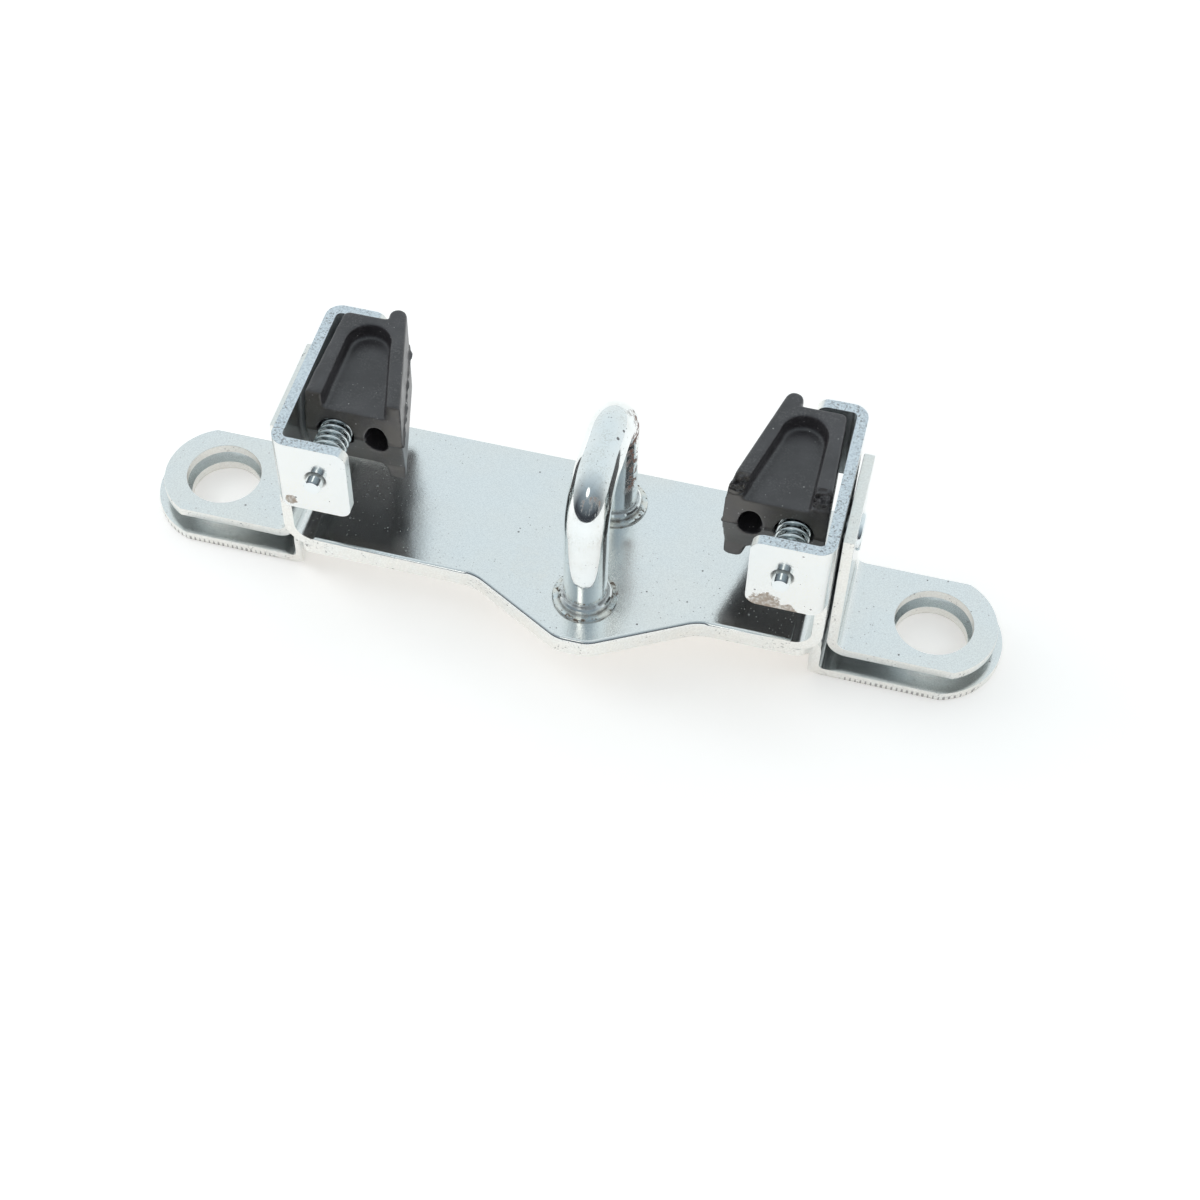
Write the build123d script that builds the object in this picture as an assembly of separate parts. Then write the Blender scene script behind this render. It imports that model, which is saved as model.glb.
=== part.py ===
# Door striker: a folded steel channel on a joggled base plate, with a U-shaped striker bar between two
# sprung rubber wedges. X runs along the row of bolt holes, -Y is the side the wedges are pushed towards,
# +Z is up. The origin is the middle between the two bolt holes, on the mounting face.
from build123d import *
from math import atan2, cos, radians, sin
import os

# Sheet and mounting face
SHEET = 2.0              # thickness of all four folded sheets
HOLE_X = 69.0            # bolt hole centre from the middle
LOW_HOLE_R = 6.7         # bolt hole in the base plate
LOW_EAR_HALF = 12.5      # half width of a base plate ear
LOW_EAR_R = 13.0         # round end of a base plate ear, about its hole
RISE = 8.4               # step from the ears up to the raised middle
STEP_X = 50.3            # outer face of the step
STEP_R_OUT = 3.5         # upper bend of the step, outside
STEP_R_IN = 1.0          # lower bend of the step, inside
NECK_RUN = 4.5           # length over which the raised middle narrows to an ear

# Channel
PLATE_HALF = 15.6        # half width of the plate and of its legs
LEG_X = 50.3             # outer face of a leg
LEG_BEND_IN = 3.5        # inside radius between plate and leg
ARM_BOTTOM = 11.4        # lower edge of the arms above the plate
TOWER = 28.1             # top of legs and arms above the plate
ARM_STAND = 2.0          # how far the outside of an arm stands beyond the plate's edge
ARM_BEND_IN = 1.0        # inside radius between leg and arm
ARM_CORNER = 2.2         # rounded free corners of an arm
FRONT_ARM_X = 36.0       # free end of both front arms
REAR_ARM_X_LEFT = 39.3   # free end of the left rear arm
REAR_ARM_X_RIGHT = 41.0  # free end of the right rear arm

# Striker bar
BAR_D = 8.0
BAR_X = 7.0              # the bar stands off the middle
BAR_EDGE = 10.3          # from the tip of the swelling back to the front leg
BAR_SPAN = 22.7          # leg to leg
BAR_TOP = 27.5           # centre line of the crosspiece above the plate
BAR_BEND = 8.0           # centre-line radius of its shoulders
COLLAR_D = 9.6
COLLAR_H = 1.3
RING_D = 12.0
RING_H = 0.5
TENON_D = 6.0
CLINCH_D = 9.0
CLINCH_H = 1.4
COLLAR_CHAMFER = 0.3
RING_CHAMFER = 0.15

# Swelling of both plates in front of the bar
BULGE_TIP = 10.0         # how far its tip stands beyond the straight front edge
BULGE_HALF = 21.0        # half of its foot
BULGE_NOSE = 3.0         # half of its blunt tip
BULGE_R_TIP = 6.0
BULGE_R_FOOT = 8.0

# Ear brackets
BRACKET_GAP = 0.5        # between a leg and the bracket's upright
BRACKET_HALF = 10.4      # half width
BRACKET_TOP = 24.0       # top of the upright above the plate
BRACKET_BEND_IN = 2.0
EAR_GAP = 2.2            # daylight between the two ears
EAR_HOLE_R = 7.2
EAR_R = 11.6             # arc at the end of the ear, about its hole

# Rivet through leg and upright
RIVET_D = 4.6
RIVET_Z = 14.6           # above the plate
RIVET_Y = 0.5
RIVET_HEAD_D = 7.0
RIVET_HEAD_H = 0.7
RIVET_SINK = 1.0         # depth of the flush countersunk end

# Guide pins and springs
PIN_D = 3.2
PIN_X = 42.0
PIN_Z = 20.3             # above the plate
PIN_PROUD = 2.0          # length standing out in front of the arm
PIN_HEAD_D = 5.4
PIN_HEAD_H = 1.2
PIN_LEAD = 0.5           # countersink round the pin in the front arm
PIN_CHAMFER = 0.2
HEAD_ROUND = 0.7         # rounding of a formed head, as a share of its height
SPRING_OD = 6.3
WIRE = 0.75
WIRE_SIDES = 6           # the wire's round section is simplified to this many sides
COILS = 13

# Rubber wedges
RIGHT_STAND = 1.5        # the right wedge rests this far short of its rear arm, the left one reaches it
WEDGE_SIDE_GAP = 0.7     # to the inside of the leg, at the parting line in front
SIDE_TAPER = 0.04        # how far the outer side runs inwards per length towards the back
WEDGE_BACK_GAP = 0.2     # to the inside of the rear arm
WEDGE_BOTTOM = 12.4      # above the plate
WEDGE_TOP = 29.2         # above the plate
FOOT_BOTTOM = 8.9        # above the plate
FOOT_R = 1.1             # rounded lower edges of the foot
FOOT_ROOT = 2.0          # hollow rounding between foot and block
CORNER_R = 1.0           # rear outer corner of the block
FACE_X = 29.8            # sloping face, at its front end
FACE_SLOPE = 0.257       # how far the face runs outwards per length towards the back
FACE_PLATE = 3.3         # thickness of the wall behind the sloping face
LIP_REACH = 3.1          # how far that wall runs back past the inside of the rear arm, as a rounded lip
LIP_FLAT = 0.1           # flat left between the two roundings of the lip
WEDGE_LENGTH = 21.9      # from the block's back to the front face at the parting line
BROW_BACK = 1.2          # how far the front face falls back from there to the top
CHIN_BACK = 2.0          # and to the bottom
POCKET_DEPTH = 3.2
POCKET_X = 44.3          # outer wall of the pocket
POCKET_INNER_X = 36.1    # inner wall of the pocket where the arch springs
POCKET_ROOT = 0.8        # rounding round the pocket's floor
POCKET_WALL = 2.2        # rubber left between the pocket and the block's back
BORE_CLEAR = 0.07        # running fit on the pin, per side
SPRING_BORE_R = 3.5
SPRING_BORE_DEPTH = 6.5  # from the parting line to the floor of the spring bore
BLIND_X = 34.3           # centre of the oval blind hole
BLIND_W = 4.3
BLIND_H = 6.6
BLIND_DEPTH = 8.0

# Levels
EAR_TOP = SHEET
MID_TOP = EAR_TOP + RISE          # top of the base plate's raised middle, under the channel
PLATE = MID_TOP + SHEET           # top of the channel's plate
BAR_FRONT_Y = BAR_EDGE - PLATE_HALF - BULGE_TIP
BAR_REAR_Y = BAR_FRONT_Y + BAR_SPAN
ARM_OUT = PLATE_HALF + ARM_STAND
ARM_IN = ARM_OUT - SHEET
LEG_IN = LEG_X - SHEET
UPRIGHT_IN = LEG_X + BRACKET_GAP
UPRIGHT_OUT = UPRIGHT_IN + SHEET
EAR_Z = EAR_TOP + EAR_GAP         # underside of an ear
WEDGE_BACK = ARM_IN - WEDGE_BACK_GAP
LIP_Y = ARM_IN + LIP_REACH
NOSE_Y = WEDGE_BACK - WEDGE_LENGTH
BROW_Y = NOSE_Y + BROW_BACK
CHIN_Y = NOSE_Y + CHIN_BACK
POCKET_ARCH = WEDGE_BACK - POCKET_WALL
SPRING_SEAT_Y = NOSE_Y + SPRING_BORE_DEPTH
MARGIN = 3.0                      # how far a cutting shape runs past what it cuts
BIG = 200.0


def prism(points, low, high):
    """Solid of a plan outline between two levels."""
    return extrude(Plane.XY.offset(low) * make_face(Polyline(*points, close=True)), high - low)


def and_mirrored(points):
    """Outline closed by the mirror image of its right half."""
    return points + [(-x, other) for x, other in reversed(points)]


def along_y(points, near, far):
    """Solid of an outline in X and Z, drawn out along Y."""
    face = make_face(Polyline(*[(x, 0, z) for x, z in points], close=True))
    return extrude(Pos(0, near, 0) * face, far - near, dir=(0, 1, 0))


def block(x0, x1, y0, y1, z0, z1):
    return Pos((x0 + x1) / 2, (y0 + y1) / 2, (z0 + z1) / 2) * Box(x1 - x0, y1 - y0, z1 - z0)


def post(x, y, z0, z1, r):
    return Pos(x, y, (z0 + z1) / 2) * Cylinder(r, z1 - z0)


def rod_y(x, z, y0, y1, r):
    return Pos(x, (y0 + y1) / 2, z) * Rot(90, 0, 0) * Cylinder(r, y1 - y0)


def rod_x(x0, x1, y, z, r):
    return Pos((x0 + x1) / 2, y, z) * Rot(0, 90, 0) * Cylinder(r, x1 - x0)


def upright_edges(solid, x, y, near=0.4):
    """Vertical edges that stand at a place in plan."""
    return solid.edges().filter_by(Axis.Z).filter_by(
        lambda e: abs(e.center().X - x) < near and abs(e.center().Y - y) < near)


def lying_edges(solid, x, z, near=0.4):
    """Edges along Y that lie at a place in the side view."""
    return solid.edges().filter_by(Axis.Y).filter_by(
        lambda e: abs(e.center().X - x) < near and abs(e.center().Z - z) < near)


def round_edges(solid, axis):
    """Circular edges in their order along an axis."""
    return solid.edges().filter_by(GeomType.CIRCLE).sort_by(axis)


def bulge(low, high):
    """Blunt swelling of a plate in front of the bar, with a rounded tip and rounded roots."""
    front, tip = -PLATE_HALF, -PLATE_HALF - BULGE_TIP
    reach = BULGE_HALF + BULGE_R_FOOT
    body = Pos(BAR_X, 0, 0) * prism(and_mirrored([(BULGE_NOSE, tip), (BULGE_HALF, front), (reach, front),
                                                  (reach, 0)]), low, high)
    for s in (-1, 1):
        body = fillet(upright_edges(body, BAR_X + s * BULGE_HALF, front), BULGE_R_FOOT)
        body = fillet(upright_edges(body, BAR_X + s * BULGE_NOSE, tip), BULGE_R_TIP)
    return body


def bar_holes(low, high, r):
    return post(BAR_X, BAR_FRONT_Y, low, high, r) + post(BAR_X, BAR_REAR_Y, low, high, r)


# Base plate: round-ended ears on the mounting face, stepped up to a raised middle that carries the channel
def make_base_plate():
    step_in = STEP_X - SHEET
    end = HOLE_X + LOW_EAR_R + MARGIN
    outline = and_mirrored([(STEP_X, MID_TOP), (STEP_X, EAR_TOP), (end, EAR_TOP), (end, 0), (step_in, 0),
                            (step_in, MID_TOP - SHEET)])
    bent = along_y(outline, -PLATE_HALF - BULGE_TIP - MARGIN, PLATE_HALF + MARGIN)
    for s in (-1, 1):
        bent = fillet(lying_edges(bent, s * STEP_X, MID_TOP), STEP_R_OUT)
        bent = fillet(lying_edges(bent, s * step_in, MID_TOP - SHEET), STEP_R_OUT - SHEET)
        bent = fillet(lying_edges(bent, s * STEP_X, EAR_TOP), STEP_R_IN)
        bent = fillet(lying_edges(bent, s * step_in, 0), STEP_R_IN + SHEET)

    low, high = -MARGIN, MID_TOP + MARGIN
    neck = STEP_X - NECK_RUN
    edges = []
    for s in (-1, 1):
        edges.append(Line((-neck, s * PLATE_HALF), (neck, s * PLATE_HALF)))
        edges.append(Polyline((s * STEP_X, -LOW_EAR_HALF), (s * end, -LOW_EAR_HALF), (s * end, LOW_EAR_HALF),
                              (s * STEP_X, LOW_EAR_HALF)))
        for side in (-1, 1):
            edges.append(Spline((s * neck, side * PLATE_HALF), (s * STEP_X, side * LOW_EAR_HALF),
                                tangents=((s, 0), (s, 0))))
    plan = extrude(Plane.XY.offset(low) * make_face(edges), high - low)
    for s in (-1, 1):
        tip = block(*sorted((s * HOLE_X, s * (end + MARGIN))), -BIG, BIG, low, high)
        plan -= tip - post(s * HOLE_X, 0, low, high, LOW_EAR_R)
        plan -= post(s * HOLE_X, 0, low, high, LOW_HOLE_R)
    plan += bulge(low, high)
    return (bent & plan) - bar_holes(low, high, TENON_D / 2)


# Channel: plate with the same swelling, a leg at each end, and arms folded inwards from the legs
def make_channel():
    top = PLATE + TOWER
    arm_low = PLATE + ARM_BOTTOM
    body = along_y(and_mirrored([(LEG_X, MID_TOP), (LEG_X, top), (LEG_IN, top), (LEG_IN, PLATE)]),
                   -PLATE_HALF, PLATE_HALF)
    for s in (-1, 1):
        body = fillet(lying_edges(body, s * LEG_X, MID_TOP), LEG_BEND_IN + SHEET)
        body = fillet(lying_edges(body, s * LEG_IN, PLATE), LEG_BEND_IN)
    body -= block(-BIG, BIG, -BIG, BIG, arm_low, top + MARGIN)
    for s, rear_end in ((-1, REAR_ARM_X_LEFT), (1, REAR_ARM_X_RIGHT)):
        body += make_tower(s, rear_end, arm_low, top)
    body += bulge(MID_TOP, PLATE)
    return body - bar_holes(MID_TOP - MARGIN, PLATE + MARGIN, TENON_D / 2)


def make_tower(s, rear_end, low, high):
    """Upper leg with its two arms, one bent sheet seen in plan."""
    start = min(FRONT_ARM_X, rear_end)
    outer = block(start, LEG_X, -ARM_OUT, ARM_OUT, low, high)
    outer = fillet(upright_edges(outer, LEG_X, -ARM_OUT) + upright_edges(outer, LEG_X, ARM_OUT),
                   ARM_BEND_IN + SHEET)
    below, above = low - MARGIN, high + MARGIN
    inner = block(start - MARGIN, LEG_IN, -ARM_IN, ARM_IN, below, above)
    inner = fillet(upright_edges(inner, LEG_IN, -ARM_IN) + upright_edges(inner, LEG_IN, ARM_IN), ARM_BEND_IN)
    tower = outer - inner
    tower -= block(start - MARGIN, rear_end, 0, BIG, below, above)
    tower -= block(start - MARGIN, FRONT_ARM_X, -BIG, 0, below, above)
    for end in {FRONT_ARM_X, rear_end}:
        tower = fillet(lying_edges(tower, end, low) + lying_edges(tower, end, high), ARM_CORNER)
    for side in (-1, 1):
        tower -= arm_root(side, low)
    pin_z = PLATE + PIN_Z
    tower -= rod_y(PIN_X, pin_z, -BIG, BIG, PIN_D / 2)
    tower -= Pos(PIN_X, -ARM_OUT, pin_z) * Rot(90, 0, 0) * Cone(
        PIN_D / 2, PIN_D / 2 + 2 * PIN_LEAD, 2 * PIN_LEAD)
    rivet_z = PLATE + RIVET_Z
    tower -= rod_x(LEG_IN - MARGIN, LEG_X + MARGIN, RIVET_Y, rivet_z, RIVET_D / 2)
    tower -= rivet_sink()
    return tower if s > 0 else tower.mirror(Plane.YZ)


def arm_root(side, low):
    """What is cut off an arm's lower corner beside the leg to round it."""
    x, y, z = LEG_X - ARM_CORNER, side * (PLATE_HALF + ARM_OUT + MARGIN) / 2, low + ARM_CORNER
    width = ARM_OUT + MARGIN - PLATE_HALF
    corner = Pos(x + MARGIN, y, z - MARGIN) * Box(2 * MARGIN, width, 2 * MARGIN)
    return corner - Pos(x, y, z) * Rot(90, 0, 0) * Cylinder(ARM_CORNER, width)


# Ear bracket: upright back to back with the leg, and an ear that stands clear above the base plate's ear
def make_bracket(s):
    top = PLATE + BRACKET_TOP
    end = HOLE_X + EAR_R + MARGIN
    bent = along_y([(UPRIGHT_IN, top), (UPRIGHT_IN, EAR_Z), (end, EAR_Z), (end, EAR_Z + SHEET),
                    (UPRIGHT_OUT, EAR_Z + SHEET), (UPRIGHT_OUT, top)], -BRACKET_HALF, BRACKET_HALF)
    bent = fillet(lying_edges(bent, UPRIGHT_IN, EAR_Z), BRACKET_BEND_IN + SHEET)
    bent = fillet(lying_edges(bent, UPRIGHT_OUT, EAR_Z + SHEET), BRACKET_BEND_IN)
    below, above = EAR_Z - MARGIN, EAR_Z + SHEET + MARGIN
    bent -= block(HOLE_X, end + MARGIN, -BIG, BIG, below, above) - post(HOLE_X, 0, below, above, EAR_R)
    bent -= post(HOLE_X, 0, below, above, EAR_HOLE_R)
    bent -= rod_x(UPRIGHT_IN - MARGIN, UPRIGHT_OUT + MARGIN, RIVET_Y, PLATE + RIVET_Z, RIVET_D / 2)
    return bent if s > 0 else bent.mirror(Plane.YZ)


def rivet_sink():
    return Pos(LEG_IN + RIVET_SINK / 2, RIVET_Y, PLATE + RIVET_Z) * Rot(0, 90, 0) * Cone(
        RIVET_D / 2 + RIVET_SINK, RIVET_D / 2, RIVET_SINK)


# Rivet through leg and upright, flush inside and with a low button head outside
def make_rivet(s):
    z = PLATE + RIVET_Z
    body = rod_x(LEG_IN, UPRIGHT_OUT, RIVET_Y, z, RIVET_D / 2) + rivet_sink()
    head = rod_x(UPRIGHT_OUT, UPRIGHT_OUT + RIVET_HEAD_H, RIVET_Y, z, RIVET_HEAD_D / 2)
    body += fillet(round_edges(head, Axis.X)[-1], RIVET_HEAD_H * HEAD_ROUND)
    return body if s > 0 else body.mirror(Plane.YZ)


# Striker bar: a round bar bent to a U, with upset collars, and tenons clinched under the base plate
def make_staple():
    base = PLATE + RING_H
    spring_line = PLATE + BAR_TOP - BAR_BEND
    crown = PLATE + BAR_TOP
    y0, y1 = BAR_FRONT_Y, BAR_REAR_Y
    turn = BAR_BEND * (1 - cos(radians(45)))
    path = Wire([
        Line((BAR_X, y0, base), (BAR_X, y0, spring_line)),
        ThreePointArc((BAR_X, y0, spring_line), (BAR_X, y0 + turn, crown - turn),
                      (BAR_X, y0 + BAR_BEND, crown)),
        Line((BAR_X, y0 + BAR_BEND, crown), (BAR_X, y1 - BAR_BEND, crown)),
        ThreePointArc((BAR_X, y1 - BAR_BEND, crown), (BAR_X, y1 - turn, crown - turn),
                      (BAR_X, y1, spring_line)),
        Line((BAR_X, y1, spring_line), (BAR_X, y1, base))])
    bar = sweep(Plane((BAR_X, y0, base), z_dir=(0, 0, 1)) * Circle(BAR_D / 2), path=path)
    for y in (y0, y1):
        collar = post(BAR_X, y, base, base + COLLAR_H, COLLAR_D / 2)
        collar = chamfer(round_edges(collar, Axis.Z)[-1], COLLAR_CHAMFER)
        under = MID_TOP - SHEET
        clinch = post(BAR_X, y, under - CLINCH_H, under, CLINCH_D / 2)
        clinch = fillet(round_edges(clinch, Axis.Z)[0], CLINCH_H * HEAD_ROUND)
        tenon = post(BAR_X, y, under - CLINCH_H / 2, base + COLLAR_H / 2, TENON_D / 2)
        bar += collar + tenon + clinch
    return bar


# Seat ring between a collar of the bar and the plate
def make_ring(y):
    ring = post(BAR_X, y, PLATE, PLATE + RING_H, RING_D / 2)
    ring = chamfer(round_edges(ring, Axis.Z)[-1], RING_CHAMFER)
    return ring - post(BAR_X, y, PLATE - MARGIN, PLATE + MARGIN, TENON_D / 2)


# Guide pin: headed behind the rear arm, standing proud of the front arm
def make_pin(s):
    z = PLATE + PIN_Z
    front = -ARM_OUT - PIN_PROUD
    pin = rod_y(PIN_X, z, front, ARM_OUT, PIN_D / 2)
    pin = chamfer(round_edges(pin, Axis.Y)[0], PIN_CHAMFER)
    head = rod_y(PIN_X, z, ARM_OUT, ARM_OUT + PIN_HEAD_H, PIN_HEAD_D / 2)
    head = fillet(round_edges(head, Axis.Y)[-1], PIN_HEAD_H * HEAD_ROUND)
    pin += head
    return pin if s > 0 else pin.mirror(Plane.YZ)


# Compression spring with ground ends, from the front arm to the floor of the wedge's spring bore
def make_spring(s, stand):
    z = PLATE + PIN_Z
    start, end = -ARM_IN, SPRING_SEAT_Y - stand
    pitch = (end - start) / COILS
    mean_r = (SPRING_OD - WIRE) / 2
    coil = Helix(pitch, pitch * (COILS + 0.5), mean_r)
    wire_face = Plane(coil @ 0, z_dir=coil % 0) * RegularPolygon(WIRE / 2, WIRE_SIDES)
    body = sweep(wire_face, path=coil, is_frenet=True)
    body = Pos(PIN_X, start - pitch / 4, z) * Rot(-90, 0, 0) * body
    body = body & block(PIN_X - SPRING_OD, PIN_X + SPRING_OD, start, end, z - SPRING_OD, z + SPRING_OD)
    return body if s > 0 else body.mirror(Plane.YZ)


def face_x(y):
    """Sloping face of the right wedge at a place along Y."""
    return FACE_X + FACE_SLOPE * (y - CHIN_Y)


def outer_x(y):
    """Outer side of the right wedge at a place along Y."""
    return LEG_IN - WEDGE_SIDE_GAP - SIDE_TAPER * (y - NOSE_Y)


# Rubber wedge: tapering block with a sloping wall that runs on below as a foot and behind as a lip
def make_wedge(s, stand):
    low, top, foot = PLATE + WEDGE_BOTTOM, PLATE + WEDGE_TOP, PLATE + FOOT_BOTTOM
    z_pin = PLATE + PIN_Z
    back = WEDGE_BACK
    ahead = NOSE_Y - MARGIN

    block_part = prism([(face_x(ahead), ahead), (outer_x(ahead), ahead), (outer_x(back), back),
                        (face_x(back), back)], low, top)
    block_part = fillet(upright_edges(block_part, outer_x(back), back), CORNER_R)

    lean = atan2(FACE_SLOPE, 1)
    aside, down = FACE_PLATE * cos(lean), -FACE_PLATE * sin(lean)
    wall = prism([(face_x(ahead), ahead), (face_x(ahead) + aside, ahead + down),
                  (face_x(LIP_Y) + aside, LIP_Y + down), (face_x(LIP_Y), LIP_Y)], foot, top)
    for x, y in ((0, 0), (aside, down)):
        wall = fillet(wall.edges().sort_by_distance((face_x(0) + x, y, foot))[0], FOOT_R)
    lip = upright_edges(wall, face_x(LIP_Y), LIP_Y)
    lip += upright_edges(wall, face_x(LIP_Y) + aside, LIP_Y + down)
    wall = fillet(lip, (FACE_PLATE - LIP_FLAT) / 2)
    body = block_part + wall
    body = fillet(body.edges().sort_by_distance((face_x(0) + aside, down, low))[0], FOOT_ROOT)

    below, above, far = foot - MARGIN, top + MARGIN, ahead - MARGIN
    front = Polyline((0, CHIN_Y, below), (0, CHIN_Y, low), (0, NOSE_Y, z_pin), (0, BROW_Y, top),
                     (0, BROW_Y, above), (0, far, above), (0, far, below), close=True)
    body -= extrude(make_face(front), BIG, dir=(1, 0, 0))

    body -= make_pocket(top)
    body -= rod_y(PIN_X, z_pin, -BIG, BIG, PIN_D / 2 + BORE_CLEAR)
    body -= rod_y(PIN_X, z_pin, -BIG, SPRING_SEAT_Y, SPRING_BORE_R)
    body -= make_blind_hole(ahead, z_pin)
    body = Pos(0, -stand, 0) * body
    return body if s > 0 else body.mirror(Plane.YZ)


def make_blind_hole(ahead, z):
    """Upright oval hole in the wedge's front face, on the parting line."""
    oval = Plane((BLIND_X, ahead, z), x_dir=(1, 0, 0), z_dir=(0, 1, 0)) * Ellipse(BLIND_W / 2, BLIND_H / 2)
    return extrude(oval, NOSE_Y + BLIND_DEPTH - ahead)


def make_pocket(top):
    """Arched pocket in the wedge's top, open to the front."""
    r = (POCKET_X - POCKET_INNER_X) / 2
    spring_y = POCKET_ARCH - r
    mid = (POCKET_X + POCKET_INNER_X) / 2
    ahead = NOSE_Y - MARGIN
    flare = FACE_SLOPE * (spring_y - ahead)
    with_sides = prism([(POCKET_INNER_X - flare, ahead), (POCKET_X, ahead), (POCKET_X, spring_y),
                        (POCKET_INNER_X, spring_y)], top - POCKET_DEPTH, top + MARGIN)
    pocket = with_sides + post(mid, spring_y, top - POCKET_DEPTH, top + MARGIN, r)
    floor = pocket.faces().sort_by(Axis.Z)[0]
    rounded = floor.edges().filter_by(lambda e: e.center().Y > ahead + MARGIN / 2)
    return fillet(rounded, min(POCKET_ROOT, r / 2))


os.makedirs("parts", exist_ok=True)
pieces = {
    "base_plate": make_base_plate(),
    "striker_channel": make_channel(),
    "striker_bar": make_staple(),
    "front_seat_ring": make_ring(BAR_FRONT_Y),
    "rear_seat_ring": make_ring(BAR_REAR_Y),
}
for s, name, stand in ((-1, "left", 0), (1, "right", RIGHT_STAND)):
    pieces[name + "_ear_bracket"] = make_bracket(s)
    pieces[name + "_rivet"] = make_rivet(s)
    pieces[name + "_pin"] = make_pin(s)
    pieces[name + "_spring"] = make_spring(s, stand)
    pieces[name + "_wedge"] = make_wedge(s, stand)
for name, solid in pieces.items():
    export_step(solid, "parts/" + name + ".step")
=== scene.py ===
"""Finish and studio for a plated door striker with a bright U-shaped bar and spring-loaded rubber wedges."""

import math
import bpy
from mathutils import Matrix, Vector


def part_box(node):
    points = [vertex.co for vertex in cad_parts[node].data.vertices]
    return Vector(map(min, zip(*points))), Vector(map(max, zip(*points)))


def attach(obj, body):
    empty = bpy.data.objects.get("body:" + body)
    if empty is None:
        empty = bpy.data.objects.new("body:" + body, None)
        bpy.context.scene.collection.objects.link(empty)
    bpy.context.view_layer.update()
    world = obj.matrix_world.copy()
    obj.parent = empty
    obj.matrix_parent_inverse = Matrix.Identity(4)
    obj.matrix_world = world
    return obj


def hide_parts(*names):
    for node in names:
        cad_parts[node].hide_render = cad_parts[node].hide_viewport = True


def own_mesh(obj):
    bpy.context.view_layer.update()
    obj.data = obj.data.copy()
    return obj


bl_info = {
    "name": "Door striker finish",
    "version": (1, 0, 0),
    "blender": (4, 5, 0),
    "location": "3D View > Sidebar > Striker",
    "description": "Dresses a folded steel door striker in zinc plating and moulded rubber, and lights it",
    "category": "Object",
}

import bmesh
import bpy
from bpy.props import FloatProperty, FloatVectorProperty, IntProperty, PointerProperty
from mathutils import Matrix, Vector, noise

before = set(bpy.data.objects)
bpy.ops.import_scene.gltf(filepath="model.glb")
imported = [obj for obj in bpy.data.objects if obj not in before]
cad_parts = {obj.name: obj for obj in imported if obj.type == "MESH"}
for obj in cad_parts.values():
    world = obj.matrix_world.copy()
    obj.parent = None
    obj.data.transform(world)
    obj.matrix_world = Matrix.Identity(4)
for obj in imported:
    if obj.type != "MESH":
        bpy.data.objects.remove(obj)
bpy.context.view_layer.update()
MM = 0.001
SIDES = {"left": -1, "right": 1}    # which way along X each side lies
PLATED, SHEARED, SHADED_BURR = range(3)  # material slots of a sheet
MERGE = 0.002 * MM          # corners of the loose triangles closer than this are one corner
NEAR = 0.01 * MM            # places closer than this are the same place
FLAT = math.radians(0.3)    # faces that turn less than this are one flat face
SHARP = math.radians(50)    # an edge that turns more than this is a cut edge
CREASE = math.radians(36)   # shading breaks at edges that turn more than this
SQUARE = 0.02               # a normal with less than this along an axis stands square to it

# Places on the part, in metres
PLATE_Z = 12.4 * MM         # top of the channel's plate
TOWER_TOP = 40.5 * MM       # top of the legs and arms
TOP_BAND = 0.4 * MM         # depth of the upper edges of the legs and arms
ARM_LOW = 23.8 * MM         # lower edge of the arms
ARM_END_X = 45 * MM         # the cut ends of the arms lie within this
PLATE_FRONT_Y = -15 * MM    # the plate's front edge lies ahead of this
ROLLED_END = 45 * MM        # the plate's rolled front edge ends here, short of the bends
LOWER_EAR_X = 52 * MM       # the lower ears lie outside this
UPPER_EAR_X = 60 * MM       # the round ends of the upper ears lie outside this
BRACKET_TOP = 36.3 * MM     # the upper edges of the brackets lie above this
DRAG_PITCH = 0.95 * MM      # spacing of the drag marks on the lower ears' edges
DRAG_X = (54 * MM, 55 * MM)         # the marks fade in here,
DRAG_Y = (-9 * MM, -8 * MM)         # fade out here towards the rear
DRAG_Z = (0.7 * MM, 1.2 * MM)       # and here towards the top
WARM_PATCH = ((-4.5 * MM, -11.0 * MM, PLATE_Z), 4.5 * MM)   # centre and radius
SHEET_STAINS = (            # centre and radius of the dried stains
    ((39.5 * MM, -17.6 * MM, 24.6 * MM), 2.9 * MM),
    ((43.5 * MM, -17.6 * MM, 23.9 * MM), 1.6 * MM),
    ((-47.3 * MM, -17.6 * MM, 25.6 * MM), 1.2 * MM),
)
BAR_DOTS = (                # centre and radius of the dark dots on the crown
    ((9.4 * MM, -3.3 * MM, 43.1 * MM), 0.35 * MM),
    ((9.9 * MM, -1.0 * MM, 42.7 * MM), 0.28 * MM),
    ((6.6 * MM, 1.6 * MM, 43.9 * MM), 0.25 * MM),
    ((9.5 * MM, 4.6 * MM, 42.9 * MM), 0.25 * MM),
)
BAR_STREAK = ((8.0 * MM, -16.3 * MM, 39.3 * MM), 1.9 * MM)  # centre and radius
BAR_REAR_Y = 7.4 * MM       # centre line of the bar's rear leg
SCUFF_FRONT_Y = (BAR_REAR_Y - 4.5 * MM, BAR_REAR_Y - 3.0 * MM)  # the rear leg's scuffs fade in here
SCUFF_REAR_Y = (BAR_REAR_Y - 1.2 * MM, BAR_REAR_Y - 0.4 * MM)   # and out here,
SCUFF_X = (9.0 * MM, 10.0 * MM)     # and lie to the right of this
SCUFF_Z = (18 * MM, 21 * MM)        # and above this
PARTING_Z = 32.7 * MM       # where the two halves of a wedge's mould meet
FLASH_SHADOW_DROP = 0.25 * MM    # the dark line of painted shadow runs this far under the flash
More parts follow.
